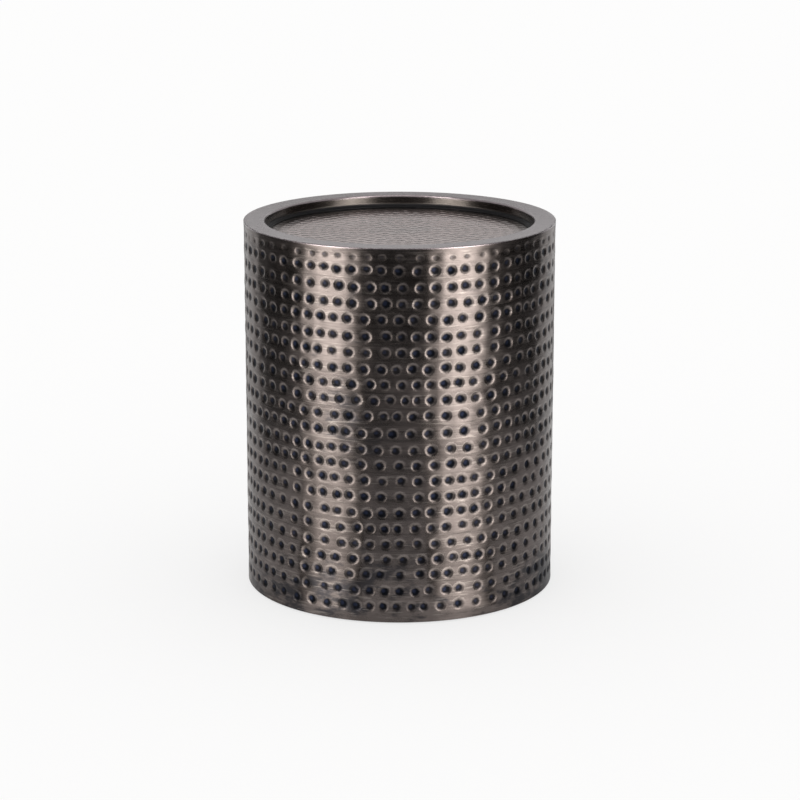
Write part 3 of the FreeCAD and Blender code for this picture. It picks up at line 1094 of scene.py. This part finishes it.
# %% Roll the sheet
def rolled(flat, angle):
    """Turns a flat sheet's direction into the drum's, at an angle round the axis."""
    cosine, sine = math.cos(angle), math.sin(angle)
    return Vector((-sine * flat.x + cosine * flat.z, cosine * flat.x + sine * flat.z, flat.y))


def sheet_angle(x):
    return TURN / 4 + (SEAM_GAP / 2 + x) / OUTSIDE


angle_of = {v: sheet_angle(v.co.x) for v in wall_bm.verts}
for face in wall_bm.faces:
    face.material_index = 0 if face[skin_id] == OUTER else 1
    for loop in face.loops:
        loop[true_normal] = rolled(loop[true_normal], angle_of[loop.vert])
for v, angle in angle_of.items():
    v.co = rolled(Vector((0, wall_low.z + v.co.y, OUTSIDE + v.co.z)), angle)

hammered_wall = new_object("hammered_wall", wall_bm, wall_material)
wall_mesh = hammered_wall.data
wall_mesh.materials.append(plate_material)
stored = [tuple(item.vector) for item in wall_mesh.attributes["true_normal"].data]
wall_mesh.normals_split_custom_set(stored)
wall_mesh.attributes.remove(wall_mesh.attributes["true_normal"])
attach(hammered_wall, "root")
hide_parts("drum_shell")
print("hammered_wall:", sum(len(p.vertices) - 2 for p in wall_mesh.polygons), "triangles")


# %% [markdown]
# ## Spun pieces
# The rim ring is spun: its section, drawn once beside the axis, is turned all the way
# round. The section's corners are points with a bend radius each, and a vertex bevel
# makes the bends, so both sides of the sheet bend round the same centre.

# %% Section and spin
def bent_section(bm, corners, bend_segments=8):
    """Draws (radius, height, bend) corners as one face in the XZ plane, with its bends."""
    verts = [bm.verts.new((radius, 0, height)) for radius, height, _ in corners]
    bm.faces.new(verts)
    for v, (_, _, bend) in zip(verts, corners):
        if bend:
            bmesh.ops.bevel(
                bm,
                geom=[v],
                offset=bend,
                offset_type="OFFSET",
                segments=bend_segments,
                profile=0.5,
                affect="VERTICES",
                material=-1,
            )


def spin_section(bm, steps):
    """Turns the section round the axis into a closed ring."""
    bmesh.ops.delete(bm, geom=bm.faces[:], context="FACES_ONLY")
    bmesh.ops.spin(
        bm,
        geom=bm.verts[:] + bm.edges[:],
        cent=(0, 0, 0),
        axis=(0, 0, 1),
        angle=TURN,
        steps=steps,
        use_merge=True,
    )
    bmesh.ops.remove_doubles(bm, verts=bm.verts, dist=0.001 * MM)
    bmesh.ops.recalc_face_normals(bm, faces=bm.faces)


def shade_round(piece, crease=40):
    """Smooth shading, with edges sharper than the crease angle kept sharp."""
    piece.data.shade_smooth()
    piece.data.set_sharp_from_angle(angle=math.radians(crease))


# %% [markdown]
# The ring's flat top gets cross cuts before the spin, so that the planishing can show:
# hundreds of light overlapping blows left it a few hundredths of a millimetre uneven.

# %% Rim ring
rim_low, rim_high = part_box("rim_ring")
RIM_THICKNESS = 1.5 * MM
WELL_RADIUS = 178 * MM
LIP_BEND = 3 * MM
FLANGE_RADIUS = 171.5 * MM
RIM_CORNER = 0.6 * MM
FLANGE_CORNER = 0.3 * MM
RIM_STEPS = 360
RIM_CUTS = 9
flange_top = rim_low.z + RIM_THICKNESS

rim_bm = bmesh.new()
bent_section(
    rim_bm,
    (
        (rim_high.x, rim_high.z, RIM_CORNER),
        (WELL_RADIUS, rim_high.z, LIP_BEND),
        (WELL_RADIUS, flange_top, LIP_BEND),
        (FLANGE_RADIUS, flange_top, FLANGE_CORNER),
        (FLANGE_RADIUS, rim_low.z, 0),
        (WELL_RADIUS + RIM_THICKNESS, rim_low.z, LIP_BEND + RIM_THICKNESS),
        (WELL_RADIUS + RIM_THICKNESS, rim_high.z - RIM_THICKNESS, LIP_BEND - RIM_THICKNESS),
        (rim_high.x, rim_high.z - RIM_THICKNESS, 0),
    ),
)
long_top = [
    e
    for e in rim_bm.edges
    if e.calc_length() > 20 * MM and min(v.co.z for v in e.verts) > rim_high.z - 0.1 * MM
]
bmesh.ops.subdivide_edges(rim_bm, edges=long_top, cuts=RIM_CUTS)
spin_section(rim_bm, RIM_STEPS)
for v in rim_bm.verts:
    if v.co.z > rim_high.z - TOUCHING:
        blow = noise.noise(v.co * 95) + 0.5 * noise.noise(v.co * 190)
        v.co.z -= (0.10 + 0.065 * blow) * MM
rim_ring = new_object("planished_rim_ring", rim_bm, rim_material)
lit_ring.objects.link(rim_ring)
shade_round(rim_ring)
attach(rim_ring, "root")
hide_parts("rim_ring")
print("planished_rim_ring:", len(rim_ring.data.polygons), "faces")

# %% [markdown]
# ## Tray floor
# The tray's blows are small, shallow and set out in rings round the middle. A square
# grid squeezed onto a disc gives an even mesh without a crowded middle, and each blow
# then sinks the points near it. Solidify gives the sheet its thickness, so the blows
# also show from below.

# %% Tray blows
tray_low, tray_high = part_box("tray_floor")
TRAY_RADIUS = tray_high.x
TRAY_THICKNESS = tray_high.z - tray_low.z
TRAY_RING_PITCH = 12.8 * MM
TRAY_BLOW_PITCH = 13.5 * MM
TRAY_BLOW_RADIUS = 6.2 * MM
TRAY_BLOW_DEPTH = 0.46 * MM
LAST_TRAY_RING = 167 * MM

tray_blows = []
dice = random.Random(12)
for ring in range(int(LAST_TRAY_RING / TRAY_RING_PITCH) + 1):
    radius = ring * TRAY_RING_PITCH
    count = max(1, round(TURN * radius / TRAY_BLOW_PITCH))
    start = dice.uniform(0, TURN)
    for n in range(count):
        angle = start + TURN * (n + dice.gauss(0, 0.05)) / count
        out = radius + dice.gauss(0, 0.25) * MM
        spot = Vector((out * math.cos(angle), out * math.sin(angle), 0))
        size = TRAY_BLOW_RADIUS * dice.uniform(0.85, 1.10)
        tray_blows.append((spot, size, TRAY_BLOW_DEPTH * dice.uniform(0.5, 1.2)))
print(len(tray_blows), "blows on the tray")

# %% Tray floor
TRAY_CELLS = 212

tray_bm = bmesh.new()
dent_layer = tray_bm.verts.layers.float.new("dent")
bmesh.ops.create_grid(tray_bm, x_segments=TRAY_CELLS, y_segments=TRAY_CELLS, size=1)
near_blows = kdtree.KDTree(len(tray_blows))
for n, (spot, _, _) in enumerate(tray_blows):
    near_blows.insert(spot, n)
near_blows.balance()
for v in tray_bm.verts:
    x, y = v.co.xy
    long_side, short_side = (x, y) if abs(x) > abs(y) else (y, x)
    if long_side:
        quarter = math.pi / 4 * short_side / long_side
        near, far = long_side * math.cos(quarter), long_side * math.sin(quarter)
        v.co = Vector((near, far, 0) if abs(x) > abs(y) else (far, near, 0)) * TRAY_RADIUS
    sink = 0.0
    for spot, n, apart in near_blows.find_range(v.co, TRAY_BLOW_RADIUS * 1.2):
        _, size, depth = tray_blows[n]
        sink += depth * bowl(apart / size)[0]
        v[dent_layer] += bowl(apart / size)[0] * depth / TRAY_BLOW_DEPTH
    sag = noise.noise(v.co * 14) + 1
    v.co.z = tray_high.z - sink - 0.10 * MM * sag
    edge = min(1, max(0, (TRAY_RADIUS - v.co.xy.length) / (6 * MM)))
    v.co.z = tray_high.z + (v.co.z - tray_high.z) * edge
bmesh.ops.recalc_face_normals(tray_bm, faces=tray_bm.faces)
tray_floor = new_object("hammered_tray_floor", tray_bm, tray_material)
not_tray.objects.link(tray_floor)
not_tray.collection_objects[0].light_linking.link_state = "EXCLUDE"
tray_floor.data.materials.append(plate_material)
sheet = tray_floor.modifiers.new("sheet", "SOLIDIFY")
sheet.thickness = TRAY_THICKNESS
sheet.offset = -1
sheet.material_offset = 1
sheet.material_offset_rim = 1
shade_round(tray_floor)
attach(tray_floor, "root")
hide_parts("tray_floor")
print("hammered_tray_floor:", len(tray_floor.data.polygons), "faces a side")


# %% [markdown]
# ## Welds
# A stitch weld is a short bead in a corner between two plates. It starts as a sphere
# stretched along the corner, with the ripples that the arc leaves as it moves. Two
# planes then cut away what would be inside the plates, and the bead is bent round the
# drum. One function makes all three rings of stitches.

# %% Stitch bead
STITCH_COUNT = 12
STITCH_LENGTH = 15 * MM
RIPPLE_PITCH = 1.5 * MM
RIPPLE_SHARE = 0.05
SPHERE_RINGS = 30
SPHERE_SIDES = 16


def add_stitch(bm, corner, legs, bearing):
    """Adds a bead in a (radius, height) corner, as long as its two signed legs."""
    made = bmesh.ops.create_uvsphere(bm, u_segments=SPHERE_SIDES, v_segments=SPHERE_RINGS, radius=1)
    verts = made["verts"]
    for v in verts:
        along = v.co.z
        across = Vector((v.co.x, v.co.y))
        length_along = along * STITCH_LENGTH / 2
        if across.length > 1e-6:
            blunt = (1 - abs(along) ** 4) ** 0.5
            wave = math.cos(TURN * length_along / RIPPLE_PITCH + along * along)
            across = across.normalized() * blunt * (1 - RIPPLE_SHARE * (1 + wave))
        v.co = Vector((across.x * abs(legs[0]), across.y * abs(legs[1]), length_along))
    for side, leg in ((Vector((1, 0, 0)), legs[0]), (Vector((0, 1, 0)), legs[1])):
        geom = in_order(g for v in verts for g in (v, *v.link_edges, *v.link_faces))
        away = side if leg < 0 else -side
        cut = bmesh.ops.bisect_plane(
            bm, geom=geom, plane_co=(0, 0, 0), plane_no=away, dist=0.001 * MM, clear_outer=True
        )
        open_edges = [g for g in cut["geom_cut"] if isinstance(g, bmesh.types.BMEdge)]
        bmesh.ops.holes_fill(bm, edges=open_edges)
        still_there = [v for v in verts if v.is_valid]
        verts = in_order(still_there + [v for e in open_edges for v in e.verts])
    middle = math.radians(bearing)
    for v in verts:
        out, up, along = v.co
        angle = middle + along / corner[0]
        out += corner[0]
        v.co = Vector((out * math.cos(angle), out * math.sin(angle), up + corner[1]))


def stitch_ring(name, node, corner, legs):
    """A ring of stitches, spread so that none lies on the seam at the back."""
    bm = bmesh.new()
    for n in range(STITCH_COUNT):
        add_stitch(bm, corner, legs, (n + 0.5) * 360 / STITCH_COUNT)
    bmesh.ops.recalc_face_normals(bm, faces=bm.faces)
    ring = new_object(name, bm, weld_material)
    shade_round(ring, crease=50)
    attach(ring, "root")
    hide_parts(node)
    print(name + ":", len(ring.data.polygons), "faces")


# %% Three rings of stitches
WELD_GAP = 0.1 * MM
TRAY_LEG_OUT = 2.0 * MM
SHELL_SIDE = OUTSIDE - SHEET_THICKNESS - WELD_GAP
TRAY_SIDE = TRAY_RADIUS + WELD_GAP

for place_name, side, leg_out in (
    ("rim", SHELL_SIDE, None),
    ("tray", TRAY_SIDE, TRAY_LEG_OUT),
    ("base", SHELL_SIDE, None),
):
    node = place_name + "_weld_stitches"
    weld_low, weld_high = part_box(node)
    leg_down = weld_low.z - weld_high.z
    stitch_ring(place_name + "_stitches", node, (side, weld_high.z), (leg_out or leg_down, leg_down))

# %% [markdown]
# The seam weld fills the gap at the back from top to bottom. It was ground flush on the
# outside, so only fine low spots are left there, and it stands proud inside with the
# arc's ripples. A long box is cut across many times, so that there are points to move.

# %% Seam weld
seam_low, seam_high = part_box("shell_seam_weld")
CROWN_START = 10 * MM
CROWN_HEIGHT = 0.8 * MM
SEAM_RIPPLE = 2.4 * MM
SEAM_CUTS = 480
SEAM_ACROSS = 7

seam_bm = bmesh.new()
bmesh.ops.create_grid(seam_bm, x_segments=SEAM_ACROSS, y_segments=SEAM_CUTS, size=0.5)
outer_face = seam_bm.faces[:]
back = bmesh.ops.extrude_face_region(seam_bm, geom=outer_face, use_keep_orig=True)
back_verts = {g for g in back["geom"] if isinstance(g, bmesh.types.BMVert)}
seam_height = seam_high.z - seam_low.z
for v in seam_bm.verts:
    across, up = v.co.x, (v.co.y + 0.5) * seam_height
    crown = 1 - (2 * across) ** 2
    if v in back_verts:
        start = min(1, max(0, (up - CROWN_START) / MM))
        chevron = math.cos(TURN * (up + 2 * MM * crown) / SEAM_RIPPLE)
        radius = OUTSIDE - SHEET_THICKNESS - start * crown * (0.85 + 0.15 * chevron) * CROWN_HEIGHT
    else:
        low_spot = noise.noise(Vector((across * 2, up * 130, 4.0)))
        radius = OUTSIDE - (0.05 + 0.05 * low_spot) * crown * MM
    angle = TURN / 4 + across * SEAM_GAP / OUTSIDE
    v.co = Vector((radius * math.cos(angle), radius * math.sin(angle), seam_low.z + up))
bmesh.ops.recalc_face_normals(seam_bm, faces=seam_bm.faces)
seam_weld = new_object("seam_weld", seam_bm, weld_material)
shade_round(seam_weld, crease=50)
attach(seam_weld, "root")
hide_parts("shell_seam_weld")
print("seam_weld:", len(seam_weld.data.polygons), "faces")

# %% [markdown]
# ## Pieces from the frame
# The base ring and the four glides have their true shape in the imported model, so they
# stay and only get a finish.

# %% Frame pieces
for node, material in (
    ("base_ring", plate_material),
    ("floor_glide_front", rubber_material),
    ("floor_glide_back", rubber_material),
    ("floor_glide_left", rubber_material),
    ("floor_glide_right", rubber_material),
):
    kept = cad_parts[node]
    kept.data.materials.clear()
    kept.data.materials.append(material)
print("kept from the frame:", [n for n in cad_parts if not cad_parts[n].hide_render])

# %% [markdown]
# ## Size
# The script measures the visual model and prints how far its high corner reaches beyond
# the imported one's. The visual model may not outgrow the imported one.

# %% Compare the sizes
visual_low, visual_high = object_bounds()
outgrown = [round((v - c) / MM, 3) for v, c in zip(visual_high, cad_high)]
print("outgrows by", outgrown, "mm at the high corner")
